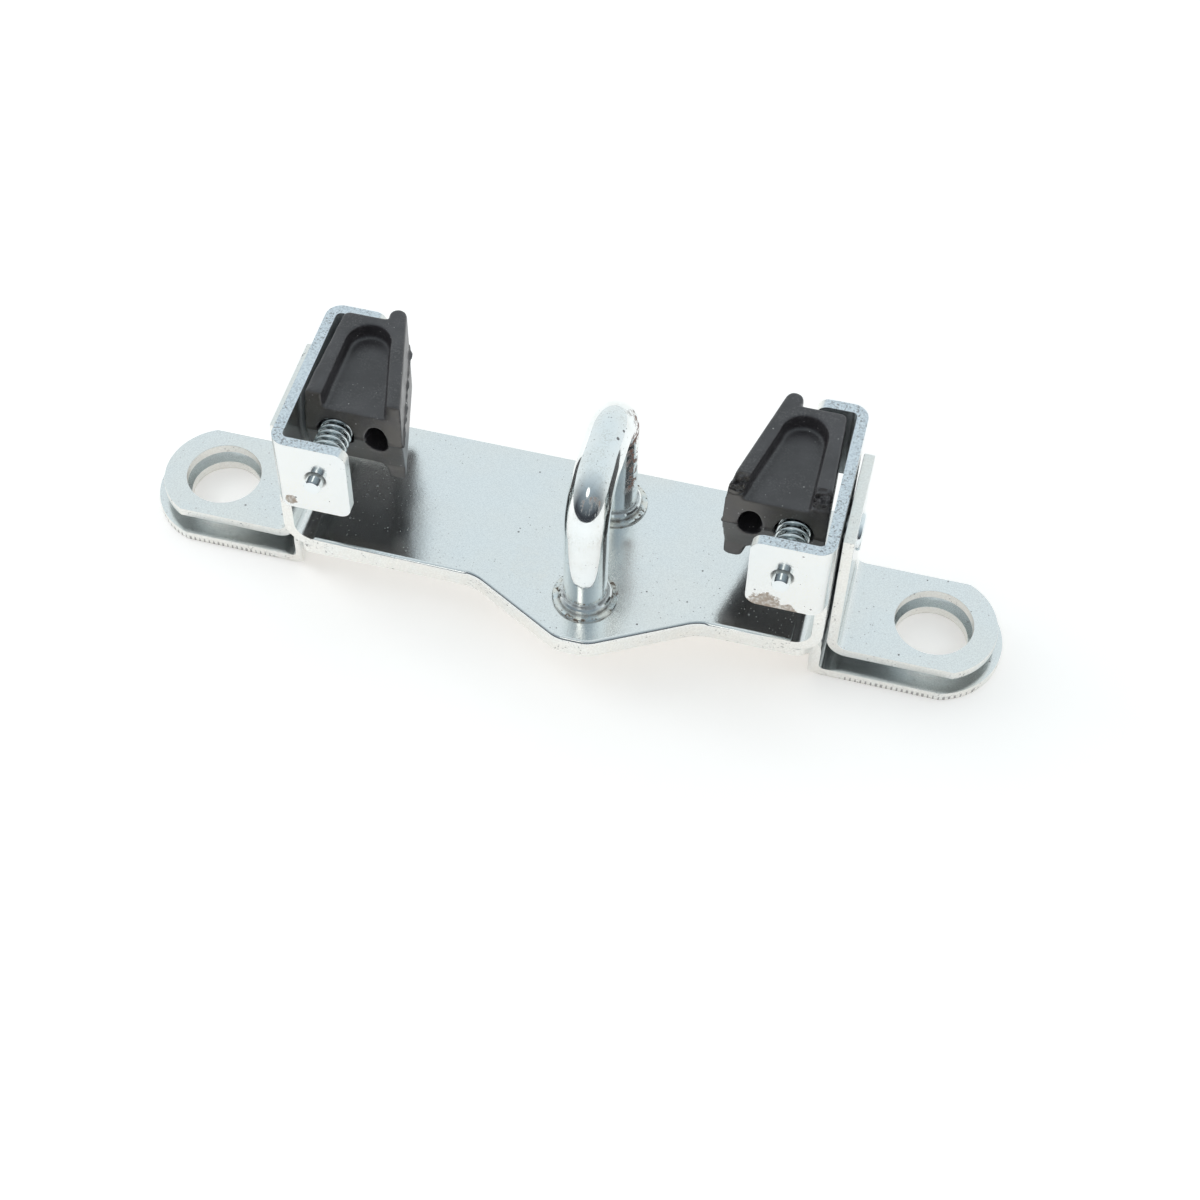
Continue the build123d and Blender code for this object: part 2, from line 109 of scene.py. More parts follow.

# Soft detail of the wedges, in metres
RIM_END = 4.5 * MM          # length of the front ends of a pocket's rims
RIM_HEIGHT = 3.0 * MM       # height of these ends
RIM_BORDER = 1.8 * MM       # the rims' edges are rounded down to this depth
RIM_TILT = (0.06, 0.985)    # upward part of the normals along these edges
TORN_END = 4.2 * MM         # the rims are torn over this length,
TORN_FADE = 1.5 * MM        # less and less over the last of it
TORN_HEIGHT = 2.6 * MM      # and down to this depth
FLASH_WANDER = 0.25 * MM    # how far the flash wanders up and down
FLASH_HALF = 0.32 * MM      # half its thickness
FLASH_FRONT = 0.30 * MM     # its height in front
FLASH_SLOPE = 0.55 * MM     # and on the sloping side
FACING = 0.7                # a normal with more than this along an axis faces that way

# Tints that go with the colours of the panel
WARM_ZINC_SPOT = (0.88, 0.83, 0.74)
ZINC_GRAIN = ((0.75, 0.78, 0.79), (0.79, 0.79, 0.77))       # on cool and on warm zinc
COOL_CUT = (0.90, 0.92, 0.90)
CUT_GRAIN = (0.72, 0.70, 0.66)
TOWER_EDGE = ((0.60, 0.655, 0.70), (0.76, 0.82, 0.86))      # dark and pale mottle
BURR_SHADE_BORDER = ((0.66, 0.71, 0.74), (0.13, 0.135, 0.14))          # clean, and dark with burrs and painted shade
BAR_PLATING = ((0.88, 0.925, 0.935), (0.92, 0.925, 0.90))   # cool and warm
BAR_GRAIN = (0.66, 0.66, 0.62)
STREAK_RUST = (0.32, 0.19, 0.13)
RING_PLATING = ((0.74, 0.80, 0.81), (0.84, 0.82, 0.76))     # cool and warm
RING_DIRT_AND_SHADE = (0.17, 0.13, 0.10)
PIN_PLATING = (0.84, 0.88, 0.89)
SPRING_STEEL = (0.70, 0.75, 0.76)
RUBBER_LIT_FRONT = (0.075, 0.066, 0.056)
RUBBER_BLOOM = (0.050, 0.046, 0.050)
RUBBER_FILM = (0.16, 0.15, 0.15)
# Painted shadow: the dark line under the flash, where its lip casts shade.
FLASH_SHADOW = (0.004, 0.004, 0.004)


class StrikerSizes(bpy.types.PropertyGroup):
    sheet_edge: FloatProperty(
        name="Sheet edge", description="Rounding of the cut edges of the folded sheets",
        default=0.18 * MM, unit="LENGTH")
    rolled_edge: FloatProperty(
        name="Rolled edge", description="Pressed rounding along the front of the plate",
        default=0.75 * MM, unit="LENGTH")
    rubber_grain: FloatProperty(
        name="Rubber grain", description="Fineness of the wedges' moulded skin",
        default=0.22 * MM, unit="LENGTH")
    wire: FloatProperty(
        name="Spring wire", description="Thickness of the spring wire", default=0.75 * MM, unit="LENGTH")
    left_coils: IntProperty(
        name="Left coils", description="Open coils of the left spring between its closed end coils",
        default=10)
    right_coils: IntProperty(
        name="Right coils", description="Open coils of the right spring between its closed end coils",
        default=8)


class StrikerColours(bpy.types.PropertyGroup):
    zinc: FloatVectorProperty(
        name="Zinc", description="Pale blue-grey of the zinc plating", subtype="COLOR", size=3,
        default=(0.87, 0.90, 0.90))
    zinc_warm: FloatVectorProperty(
        name="Warm zinc", description="Warmer patches of the zinc plating", subtype="COLOR", size=3,
        default=(0.90, 0.90, 0.87))
    cut: FloatVectorProperty(
        name="Cut edge", description="Cream white of the sheared edges", subtype="COLOR", size=3,
        default=(0.93, 0.92, 0.88))
    # Grey of burrs and wear, also painted as painted shade in the seams of sheared edges and low on the bar.
    burr_and_shade: FloatVectorProperty(
        name="Burr_and_shade", description="Dull grey of burrs and worn spots", subtype="COLOR", size=3,
        default=(0.23, 0.22, 0.22))
    stain: FloatVectorProperty(
        name="Stain", description="Dried beige stain on the arms", subtype="COLOR", size=3,
        default=(0.42, 0.34, 0.27))
    rust: FloatVectorProperty(
        name="Rust", description="Pinkish brown scuffs of the rear leg of the bar", subtype="COLOR", size=3,
        default=(0.30, 0.17, 0.13))
    rubber: FloatVectorProperty(
        name="Rubber", description="Charcoal of the moulded rubber", subtype="COLOR", size=3,
        default=(0.024, 0.021, 0.023))
    # Painted shade, partly dirt: dull colour painted in the sheets' gaps and seams, where other surfaces stand
    # close.
    shade_and_grime: FloatVectorProperty(
        name="Shade_and_grime", description="Dull dirt in gaps and seams of the sheets", subtype="COLOR", size=3,
        default=(0.42, 0.46, 0.47))
    dust: FloatVectorProperty(
        name="Dust", description="Pale dust on metal and rubber", subtype="COLOR", size=3,
        default=(0.55, 0.54, 0.52))
    floor: FloatVectorProperty(
        name="Floor", description="White of the studio floor", subtype="COLOR", size=3,
        default=(0.93, 0.93, 0.93))


def sizes():
    return bpy.context.scene.striker_sizes


def colours():
    return bpy.context.scene.striker_colours


# Meshes

def merged_copy(node):
    """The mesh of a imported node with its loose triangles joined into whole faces."""
    bm = bmesh.new()
    bm.from_mesh(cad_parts[node].data)
    bmesh.ops.remove_doubles(bm, verts=bm.verts, dist=MERGE)
    bmesh.ops.dissolve_limit(bm, angle_limit=FLAT, use_dissolve_boundaries=False,
                             verts=bm.verts, edges=bm.edges)
    return bm


def round_edges(bm, edges, width, segments, limited):
    """Bevels some edges of a mesh, if need be only as far as their faces have room, and gives the new faces."""
    return bmesh.ops.bevel(bm, geom=edges, offset=width, offset_type="OFFSET", segments=segments, profile=0.5,
                           affect="EDGES", clamp_overlap=limited, material=-1)["faces"]


def smooth(bm, verts, times):
    """Evens out some corners of a mesh."""
    for _ in range(times):
        bmesh.ops.smooth_vert(bm, verts=verts, factor=0.5, use_axis_x=True, use_axis_y=True, use_axis_z=True)


def new_piece(name, bm, body, materials, replaced):
    """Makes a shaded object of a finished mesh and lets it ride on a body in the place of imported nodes."""
    mesh = bpy.data.meshes.new(name)
    bm.to_mesh(mesh)
    bm.free()
    if "custom_normal" in mesh.attributes:
        mesh.attributes.remove(mesh.attributes["custom_normal"])
    mesh.shade_smooth()
    mesh.set_sharp_from_angle(angle=CREASE)
    for material in materials:
        mesh.materials.append(material)
    piece = bpy.data.objects.new(name, mesh)
    bpy.context.scene.collection.objects.link(piece)
    weighted = piece.modifiers.new("Even shading", "WEIGHTED_NORMAL")
    weighted.keep_sharp = True
    weighted.weight = 80
    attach(piece, body)
    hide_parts(*replaced)
    return piece


# Materials

MIX_A, MIX_B, MIX_RESULT = 6, 7, 2      # colour sockets of a Mix node


class Nodes:
    """Short calls for building a node tree."""

    def __init__(self, tree, coordinates):
        self.tree = tree
        self.place = self.add("ShaderNodeTexCoord").outputs[coordinates]

    def add(self, kind, **values):
        node = self.tree.nodes.new(kind)
        for key, value in values.items():
            setattr(node, key, value)
        return node

    def join(self, source, target):
        self.tree.links.new(source, target)

    def feed(self, socket, value):
        if isinstance(value, bpy.types.NodeSocket):
            self.join(value, socket)
        else:
            socket.default_value = value

    def noise(self, scale, detail, roughness, stretch=(1, 1, 1)):
        mapping = self.add("ShaderNodeMapping")
        mapping.inputs["Scale"].default_value = stretch
        self.join(self.place, mapping.inputs["Vector"])
        node = self.add("ShaderNodeTexNoise")
        self.join(mapping.outputs["Vector"], node.inputs["Vector"])
        node.inputs["Scale"].default_value = scale
        node.inputs["Detail"].default_value = detail
        node.inputs["Roughness"].default_value = roughness
        return node.outputs["Fac"]

    def ramp(self, value, low, high, to_low=0.0, to_high=1.0):
        node = self.add("ShaderNodeMapRange")
        node.clamp = True
        self.feed(node.inputs["Value"], value)
        node.inputs["From Min"].default_value = low
        node.inputs["From Max"].default_value = high
        node.inputs["To Min"].default_value = to_low
        node.inputs["To Max"].default_value = to_high
        return node.outputs["Result"]

    def math(self, operation, a, b=0.0):
        node = self.add("ShaderNodeMath", operation=operation)
        self.feed(node.inputs[0], a)
        self.feed(node.inputs[1], b)
        return node.outputs[0]

    def mix(self, factor, a, b):
        node = self.add("ShaderNodeMix", data_type="RGBA")
        self.feed(node.inputs[0], factor)
        self.feed(node.inputs[MIX_A], a if isinstance(a, bpy.types.NodeSocket) else (*a, 1))
        self.feed(node.inputs[MIX_B], b if isinstance(b, bpy.types.NodeSocket) else (*b, 1))
        return node.outputs[MIX_RESULT]

    def specks(self, scale, radius, share):
        """Small dots of differing size: a share of the cells of a grid of that scale holds one."""
        cells = self.add("ShaderNodeTexVoronoi")
        self.join(self.place, cells.inputs["Vector"])
        cells.inputs["Scale"].default_value = scale
        chance = self.add("ShaderNodeSeparateColor")
        self.join(cells.outputs["Color"], chance.inputs[0])
        held, growth = chance.outputs[0], chance.outputs[1]
        far = self.math("SUBTRACT", cells.outputs["Distance"],
                        self.math("MULTIPLY", growth, 0.6 * radius * scale))
        near = self.ramp(far, radius * scale * 0.35, radius * scale * 0.6, 1.0, 0.0)
        return self.math("MULTIPLY", near, self.math("LESS_THAN", held, share))

    def shade_and_grime(self, reach, low, high):
        """Painted shade, partly dirt: a dull mask where another surface stands close, in gaps and seams."""
        node = self.add("ShaderNodeAmbientOcclusion", samples=6)
        node.inputs["Distance"].default_value = reach
        return self.ramp(node.outputs["AO"], low, high, 1.0, 0.0)

    def patch(self, centre, radius, ragged, scale):
        """A ragged spot round a place on the part."""
        far = self.add("ShaderNodeVectorMath", operation="DISTANCE")
        self.join(self.place, far.inputs[0])
        far.inputs[1].default_value = centre
        torn = self.math("MULTIPLY", self.math("SUBTRACT", self.noise(scale, 5, 0.65), 0.5),
                         2 * ragged * radius)
        return self.ramp(self.math("ADD", far.outputs["Value"], torn), radius * 0.9, radius, 1.0, 0.0)

    def axis(self, letter):
        """One coordinate on the part, in metres."""
        parts = self.add("ShaderNodeSeparateXYZ")
        self.join(self.place, parts.inputs[0])
        return parts.outputs[letter]

    def fold(self, operation, masks):
        whole = masks[0]
        for mask in masks[1:]:
            whole = self.math(operation, whole, mask)
        return whole

    def any_of(self, *masks):
        return self.fold("MAXIMUM", masks)

    def all_of(self, *masks):
        return self.fold("MULTIPLY", masks)

    def bump(self, height, strength, distance, normal=None):
        node = self.add("ShaderNodeBump")
        node.inputs["Strength"].default_value = strength
        node.inputs["Distance"].default_value = distance
        self.feed(node.inputs["Height"], height)
        if normal is not None:
            self.join(normal, node.inputs["Normal"])
        return node.outputs["Normal"]


class Finish(Nodes):
    """A material of its own, whose patterns lie still on the part."""

    def __init__(self, name):
        self.material = bpy.data.materials.new(name)
        self.material.use_nodes = True
        super().__init__(self.material.node_tree, "Object")
        self.shader = self.tree.nodes["Principled BSDF"]

    def worn_and_shaded(self, mask, colour, under, rough, to_rough, to_metal=0.0):
        """Paints a dull colour over the metal where the mask is; the masks hold wear and stains, and in gaps
        and seams painted shade.
        """
        self.join(self.ramp(mask, 0, 1, 1.0, to_metal), self.shader.inputs["Metallic"])
        self.join(self.math("ADD", rough, self.math("MULTIPLY", mask, to_rough)),
                  self.shader.inputs["Roughness"])
        self.join(self.mix(mask, under, colour), self.shader.inputs["Base Color"])


def zinc_sheet():
    """Bright plating with warmer clouds, dust, dots, dried stains, and painted shade, partly dirt, in its gaps.
    """
    n = Finish("Zinc plated sheet")
    cloud = n.ramp(n.noise(38, 4, 0.6), 0.38, 0.68)
    tint = n.mix(cloud, colours().zinc, colours().zinc_warm)
    warm = n.all_of(n.patch(*WARM_PATCH, 1.2, 160), n.ramp(n.noise(500, 4, 0.6), 0.35, 0.65))
    tint = n.mix(n.math("MULTIPLY", warm, 0.25), tint, WARM_ZINC_SPOT)
    grainy = n.ramp(n.noise(3600, 2, 0.6), 0.40, 0.60)
    tint = n.mix(n.math("MULTIPLY", grainy, 0.55), tint, n.mix(cloud, *ZINC_GRAIN))
    dust = n.all_of(n.specks(1700, 0.12 * MM, 0.35), n.ramp(n.noise(60, 3, 0.6), 0.42, 0.55))
    tint = n.mix(dust, tint, colours().dust)
    dots = n.all_of(n.specks(800, 0.22 * MM, 0.2), n.ramp(n.noise(45, 3, 0.6), 0.44, 0.52))
    stains = n.any_of(*[n.patch(place, radius, 0.8, 1100) for place, radius in SHEET_STAINS])
    grains = n.ramp(n.noise(1500, 4, 0.7), 0.40, 0.56, 0.45, 1.0)
    stain = n.math("MULTIPLY", stains, grains)
    tint = n.mix(stain, tint, colours().stain)
    # Painted shade, partly dirt: dull grey painted within 3 mm of other surfaces, in the gaps under the ears
    # and at inner corners.
    gap_shade_and_grime = n.math("MULTIPLY", n.shade_and_grime(3.0 * MM, 0.25, 0.7), n.ramp(n.noise(900, 4, 0.6), 0.30, 0.60, 0.55, 0.9))
    tint = n.mix(gap_shade_and_grime, tint, colours().shade_and_grime)
    dull = n.any_of(n.math("MULTIPLY", dots, 0.8), n.math("MULTIPLY", dust, 0.8), stain, gap_shade_and_grime)
    n.worn_and_shaded(dull, n.mix(dots, tint, colours().burr_and_shade), tint,
           rough=n.ramp(n.noise(170, 5, 0.6), 0.3, 0.7, 0.13, 0.20), to_rough=0.45)
    grain = n.bump(n.noise(2400, 4, 0.7), 0.55, 0.02 * MM)
    n.join(n.bump(n.noise(420, 3, 0.5), 0.12, 0.03 * MM, grain), n.shader.inputs["Normal"])
    return n.material


def cut_edge():
    """Sheared edge of a sheet, cream white in front and mottled blue-grey on top of the towers.

    It has torn spots, painted shade and dirt in its seams, and drag marks low on the ears.
    """
    n = Finish("Sheared edge")
    tint = n.mix(n.ramp(n.noise(240, 4, 0.6), 0.4, 0.7), colours().cut, COOL_CUT)
    lying = n.ramp(n.axis("Z"), TOWER_TOP - TOP_BAND, TOWER_TOP - 0.5 * TOP_BAND)
    mottle = n.ramp(n.noise(3000, 3, 0.65), 0.42, 0.54)
    tint = n.mix(lying, n.mix(n.math("MULTIPLY", mottle, 0.35), tint, CUT_GRAIN), n.mix(mottle, *TOWER_EDGE))
    spots = n.all_of(n.ramp(n.noise(2100, 4, 0.7), 0.59, 0.65), n.ramp(n.noise(220, 3, 0.6), 0.50, 0.58))
    across = n.axis("X")
    teeth = n.math("ADD", n.math("SINE", n.math("MULTIPLY", across, 2 * math.pi / DRAG_PITCH)),
                   n.math("MULTIPLY", n.noise(500, 3, 0.6), 3.0))
    low = n.ramp(n.axis("Z"), *DRAG_Z, 1.0, 0.0)
    outside = n.ramp(n.math("ABSOLUTE", across), *DRAG_X)
    ahead = n.ramp(n.axis("Y"), *DRAG_Y, 1.0, 0.0)
    drag = n.all_of(n.ramp(teeth, 1.8, 2.1), low, outside, ahead)
    top = n.all_of(lying, n.ramp(n.noise(1900, 4, 0.7), 0.54, 0.60), n.ramp(n.noise(110, 3, 0.6), 0.42, 0.52))
    # Painted shade, partly dirt: the dull grey painted where other surfaces stand within 1 mm.
    seam_shade_and_dirt = n.shade_and_grime(1.0 * MM, 0.2, 0.6)
    worn_and_shaded = n.any_of(spots, n.math("MULTIPLY", drag, 0.7), n.math("MULTIPLY", top, 0.8),
                    n.math("MULTIPLY", seam_shade_and_dirt, 0.8))
    n.worn_and_shaded(worn_and_shaded, colours().burr_and_shade, tint, to_metal=0.2, rough=0.28, to_rough=0.35)
    n.join(n.bump(n.noise(1900, 4, 0.65), 0.5, 0.05 * MM), n.shader.inputs["Normal"])
    return n.material


def shaded_burr_edge():
    """Dark, broken burrs along the border of a tower's upper edge, partly real burrs and partly painted shade
    of the rounded border.
    """
    n = Finish("Shaded_burr border")
    broken = n.ramp(n.noise(700, 4, 0.65), 0.42, 0.54)
    clean, shaded_burr = BURR_SHADE_BORDER
    n.worn_and_shaded(broken, shaded_burr, clean, to_metal=0.4, rough=0.25, to_rough=0.3)
    return n.material


def bright_bar():
    """Glossy plating of the bar: fine speckles, dots on the crown, scuffs on the rear leg, and dark painted
    shade, partly dirt, low on its legs where other surfaces stand close.
    """
    n = Finish("Bright plated bar")
    cloud = n.ramp(n.noise(90, 4, 0.6), 0.35, 0.7)
    tint = n.mix(cloud, *BAR_PLATING)
    mottle = n.all_of(n.ramp(n.noise(2600, 3, 0.65), 0.46, 0.58), n.ramp(n.noise(300, 3, 0.6), 0.40, 0.60))
    tint = n.mix(n.math("MULTIPLY", mottle, 0.45), tint, BAR_GRAIN)
    speckle = n.all_of(n.specks(1800, 0.14 * MM, 0.30), n.ramp(n.noise(260, 4, 0.6), 0.45, 0.55))
    dots = [n.patch(place, radius, 0.3, 2500) for place, radius in BAR_DOTS]
    streak = n.all_of(n.patch(*BAR_STREAK, 0.5, 800),
                      n.ramp(n.noise(900, 4, 0.6, (1.0, 0.2, 0.2)), 0.50, 0.60))
    scuff = n.all_of(n.ramp(n.axis("Y"), *SCUFF_REAR_Y, 1.0, 0.0),
                     n.ramp(n.axis("Y"), *SCUFF_FRONT_Y),
                     n.ramp(n.axis("X"), *SCUFF_X),
                     n.ramp(n.axis("Z"), *SCUFF_Z),
                     n.ramp(n.noise(620, 6, 0.75), 0.49, 0.53))
    # Painted shade, partly dirt: dark painted where the rings and plate stand within 2 mm of the bar.
    foot_shade_and_dirt = n.math("MULTIPLY", n.shade_and_grime(2.0 * MM, 0.5, 0.9),
                  n.ramp(n.noise(900, 4, 0.65), 0.40, 0.60, 0.3, 0.95))
    dark = n.any_of(n.math("MULTIPLY", speckle, 0.6), foot_shade_and_dirt, *dots)
    rusty = n.any_of(n.math("MULTIPLY", streak, 0.75), scuff)
    paint = n.mix(rusty, colours().burr_and_shade, n.mix(streak, colours().rust, STREAK_RUST))
    n.worn_and_shaded(n.any_of(dark, rusty), paint, tint, rough=n.ramp(n.noise(300, 5, 0.6), 0.3, 0.7, 0.05, 0.10),
           to_rough=0.5)
    lengthwise = n.bump(n.noise(700, 3, 0.5, (1.0, 0.25, 0.25)), 0.22, 0.02 * MM)
    n.join(n.bump(n.noise(2600, 3, 0.6), 0.16, 0.01 * MM, lengthwise), n.shader.inputs["Normal"])
    return n.material


def plated_ring():
    """Seat ring, dull brown in clouds of dirt and rust, and in painted shade, partly dirt, where other surfaces
    stand close against it.
    """
    n = Finish("Plated seat ring")
    # Painted shade, partly dirt: brown painted where other surfaces stand within 1 mm.
    seam_shade_and_dirt = n.math("MULTIPLY", n.shade_and_grime(1.0 * MM, 0.35, 0.8), n.ramp(n.noise(600, 4, 0.6), 0.35, 0.6, 0.4, 1.0))
    brown = n.any_of(n.ramp(n.noise(900, 5, 0.7), 0.54, 0.60), seam_shade_and_dirt)
    tint = n.mix(n.ramp(n.noise(400, 3, 0.6), 0.4, 0.6), *RING_PLATING)
    n.worn_and_shaded(brown, RING_DIRT_AND_SHADE, tint, rough=0.20, to_rough=0.4)
    n.join(n.bump(n.noise(1200, 4, 0.6), 0.4, 0.04 * MM), n.shader.inputs["Normal"])
    return n.material


def plated_small():
    """Plain bright plating of the pins and rivets."""
    n = Finish("Plated pins and rivets")
    n.shader.inputs["Base Color"].default_value = (*PIN_PLATING, 1)
    n.shader.inputs["Metallic"].default_value = 1.0
    n.join(n.ramp(n.noise(900, 4, 0.6), 0.3, 0.7, 0.06, 0.18), n.shader.inputs["Roughness"])
    n.join(n.bump(n.noise(1800, 3, 0.5), 0.2, 0.015 * MM), n.shader.inputs["Normal"])
    return n.material


def spring_wire():
    """Smooth plated wire, a little darker than the pins."""
    n = Finish("Spring wire")
    n.shader.inputs["Base Color"].default_value = (*SPRING_STEEL, 1)
    n.shader.inputs["Metallic"].default_value = 1.0
    n.join(n.ramp(n.noise(900, 4, 0.6), 0.3, 0.7, 0.08, 0.2), n.shader.inputs["Roughness"])
    return n.material


def rubber():
    """Moulded rubber: charcoal, a little violet in clouds, dusty; its front faces painted lighter and browner
    as painted light, and a dark line painted under the flash as its painted shadow.
    """
    n = Finish("Charcoal rubber")
    facing = n.add("ShaderNodeSeparateXYZ")
    n.join(n.add("ShaderNodeNewGeometry").outputs["True Normal"], facing.inputs[0])
    # Painted light: faces that look forward, at the front of the wedge, are painted lighter and browner.
    ahead = n.all_of(n.ramp(facing.outputs["Y"], -0.9, -0.4, 1.0, 0.0),
                     n.ramp(n.axis("Y"), -3 * MM, -2 * MM, 1.0, 0.0))
    tint = n.mix(ahead, colours().rubber, RUBBER_LIT_FRONT)
    bloom = n.ramp(n.noise(160, 5, 0.6), 0.42, 0.62, 0.0, 0.7)
    tint = n.mix(bloom, tint, RUBBER_BLOOM)
    film = n.all_of(n.ramp(n.noise(2400, 3, 0.7), 0.50, 0.62), n.ramp(n.noise(200, 3, 0.6), 0.40, 0.60))
    tint = n.mix(n.math("MULTIPLY", film, 0.35), tint, RUBBER_FILM)
    dust = n.any_of(n.all_of(n.specks(1500, 0.13 * MM, 0.16), n.ramp(n.noise(110, 3, 0.6), 0.46, 0.56)),
                    n.specks(500, 0.22 * MM, 0.10))
    tint = n.mix(n.math("MULTIPLY", dust, 0.7), tint, colours().dust)
    # Painted shadow: a dark line painted just under the flash.
    off_line = n.math("ABSOLUTE", n.math("SUBTRACT", n.axis("Z"), PARTING_Z - FLASH_SHADOW_DROP))
    line = n.ramp(off_line, 0.16 * MM, 0.34 * MM, 1.0, 0.0)
    tint = n.mix(n.math("MULTIPLY", line, 0.9), tint, FLASH_SHADOW)
    n.join(tint, n.shader.inputs["Base Color"])
    n.shader.inputs["Specular IOR Level"].default_value = 0.85
    n.join(n.ramp(n.noise(240, 5, 0.6), 0.3, 0.7, 0.30, 0.42), n.shader.inputs["Roughness"])
    grain = n.bump(n.noise(2600, 4, 0.7), 0.45, 0.04 * MM)
    n.join(n.bump(n.noise(420, 4, 0.6), 0.3, 0.10 * MM, grain), n.shader.inputs["Normal"])
    return n.material


# Pieces

class STRIKER_OT_sheets(bpy.types.Operator):
    """Base plate, channel and ear brackets with rolled and sheared edges"""
    bl_idname = "striker.sheets"
    bl_label = "Folded sheets"

    def execute(self, context):
        face, edge, burr_and_shade = zinc_sheet(), cut_edge(), shaded_burr_edge()
        for node in ("base_plate", "striker_channel", "left_ear_bracket", "right_ear_bracket"):
            bm = merged_copy(node)
            for f in bm.faces:
                f.material_index = SHEARED if is_cut(node, f) else PLATED
            if node == "striker_channel":
                for end in (-ROLLED_END, ROLLED_END):
                    bmesh.ops.bisect_plane(bm, geom=bm.verts[:] + bm.edges[:] + bm.faces[:], dist=MERGE / 10,
                                           plane_co=(end, 0, 0), plane_no=(1, 0, 0))
            rolled = [e for e in bm.edges if is_rolled(node, e)]
            for f in round_edges(bm, rolled, sizes().rolled_edge, 4, limited=False):
                f.material_index = PLATED
            cut = [e for e in bm.edges if e.is_manifold and e.calc_face_angle() > SHARP]
            for f in round_edges(bm, cut, sizes().sheet_edge, 2, limited=True):
                # The rounded borders of the tower tops take the dark broken finish: burrs, and painted shade
                # along them.
                if f.calc_center_median().z > TOWER_TOP - TOP_BAND:
                    f.material_index = SHADED_BURR
            new_piece(node + "_plated", bm, "base", [face, edge, burr_and_shade], [node])
        return {"FINISHED"}


def is_cut(node, f):
    """Whether a face of a folded sheet is one that the shears left."""
    n, c = f.normal, f.calc_center_median()
    if node == "base_plate":
        return abs(n.y) > SQUARE or (abs(n.z) < SQUARE and abs(c.x) > LOWER_EAR_X)
    if node == "striker_channel":
        if c.z < ARM_LOW - 10 * NEAR:
            return abs(n.y) > SQUARE
        return abs(n.z) > SQUARE or (abs(n.x) > SQUARE and abs(n.y) < SQUARE and abs(c.x) < ARM_END_X)
    return abs(n.y) > SQUARE or c.z > BRACKET_TOP or (abs(n.z) < SQUARE and abs(c.x) > UPPER_EAR_X)


def is_rolled(node, e):
    """Whether an edge is one that the punch pressed round, along the front of the plate."""
    a, b = (v.co for v in e.verts)
    if node != "striker_channel" or not e.is_manifold or e.calc_face_angle() < SHARP:
        return False
    level = max(abs(a.z - PLATE_Z), abs(b.z - PLATE_Z)) < NEAR
    return level and max(a.y, b.y) < PLATE_FRONT_Y and max(abs(a.x), abs(b.x)) < ROLLED_END + NEAR


class STRIKER_OT_bar(bpy.types.Operator):
    """Striker bar and the rings under its collars"""
    bl_idname = "striker.bar"
    bl_label = "Striker bar"

    def execute(self, context):
        new_piece("striker_bar_plated", merged_copy("striker_bar"), "base", [bright_bar()],
                  ["striker_bar"])
        ring = plated_ring()
        for node in ("front_seat_ring", "rear_seat_ring"):
            new_piece(node + "_plated", merged_copy(node), "base", [ring], [node])
        return {"FINISHED"}


class STRIKER_OT_fasteners(bpy.types.Operator):
    """Guide pins and rivets"""
    bl_idname = "striker.fasteners"
    bl_label = "Pins and rivets"

    def execute(self, context):
        steel = plated_small()
        for side in SIDES:
            for kind in ("pin", "rivet"):
                node = side + "_" + kind
                new_piece(node + "_plated", merged_copy(node), "base", [steel], [node])
        return {"FINISHED"}


class STRIKER_OT_springs(bpy.types.Operator):
    """Wound springs"""
    bl_idname = "striker.springs"
    bl_label = "Springs"

    def execute(self, context):
        steel = spring_wire()
        for side in SIDES:
            low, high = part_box(side + "_spring")
            coils = getattr(sizes(), side + "_coils")
            bm = wound_spring(low, high, sizes().wire, coils)
            piece = new_piece(side + "_spring_wound", bm, "base", [steel], [side + "_spring"])
            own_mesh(piece)
        return {"FINISHED"}


COIL_STEPS = 40             # steps in each turn of a spring
WIRE_SIDES = 12
CLOSED_PITCH = 1.04         # pitch of the closed end coils, in thicknesses of the wire


def wound_spring(low, high, wire, coils):
    """A compression spring along Y with a closed coil at each end."""
    centre = (low + high) / 2
    mean_radius = (high.x - low.x - wire) / 2
    closed = wire * CLOSED_PITCH
    pitch = (high.y - low.y - wire - 2 * closed) / coils
    start = Vector((centre.x + mean_radius, low.y + wire / 2, centre.z))
    bm = bmesh.new()
    bmesh.ops.create_circle(bm, radius=wire / 2, segments=WIRE_SIDES, cap_ends=True,
                            matrix=Matrix.Translation(start))
    last = list(bm.faces)
    for turns, rise in ((1, closed), (coils, pitch), (1, closed)):
        made = bmesh.ops.spin(bm, geom=last, cent=centre, axis=(0, 1, 0), dvec=(0, rise / COIL_STEPS, 0),
                              angle=2 * math.pi * turns, steps=turns * COIL_STEPS, use_merge=False,
                              use_normal_flip=False, use_duplicate=False)
        last = [g for g in made["geom_last"] if isinstance(g, bmesh.types.BMFace)]
    bmesh.ops.recalc_face_normals(bm, faces=bm.faces)
    return bm


class STRIKER_OT_wedges(bpy.types.Operator):
    """Moulded rubber wedges with soft edges and flash, and torn rim ends on the right one"""
    bl_idname = "striker.wedges"
    bl_label = "Rubber wedges"

    def execute(self, context):
        skin = rubber()
        for side, towards in SIDES.items():
            node = side + "_wedge"
            bm = moulded(merged_copy(node), sizes().rubber_grain)
            low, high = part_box(node)
            soften_rims(bm, low, high)
            if side == "right":
                tear_rims(bm, low, high)
            raise_flash(bm, towards)
            new_piece(node + "_moulded", bm, node, [skin], [node])
        return {"FINISHED"}


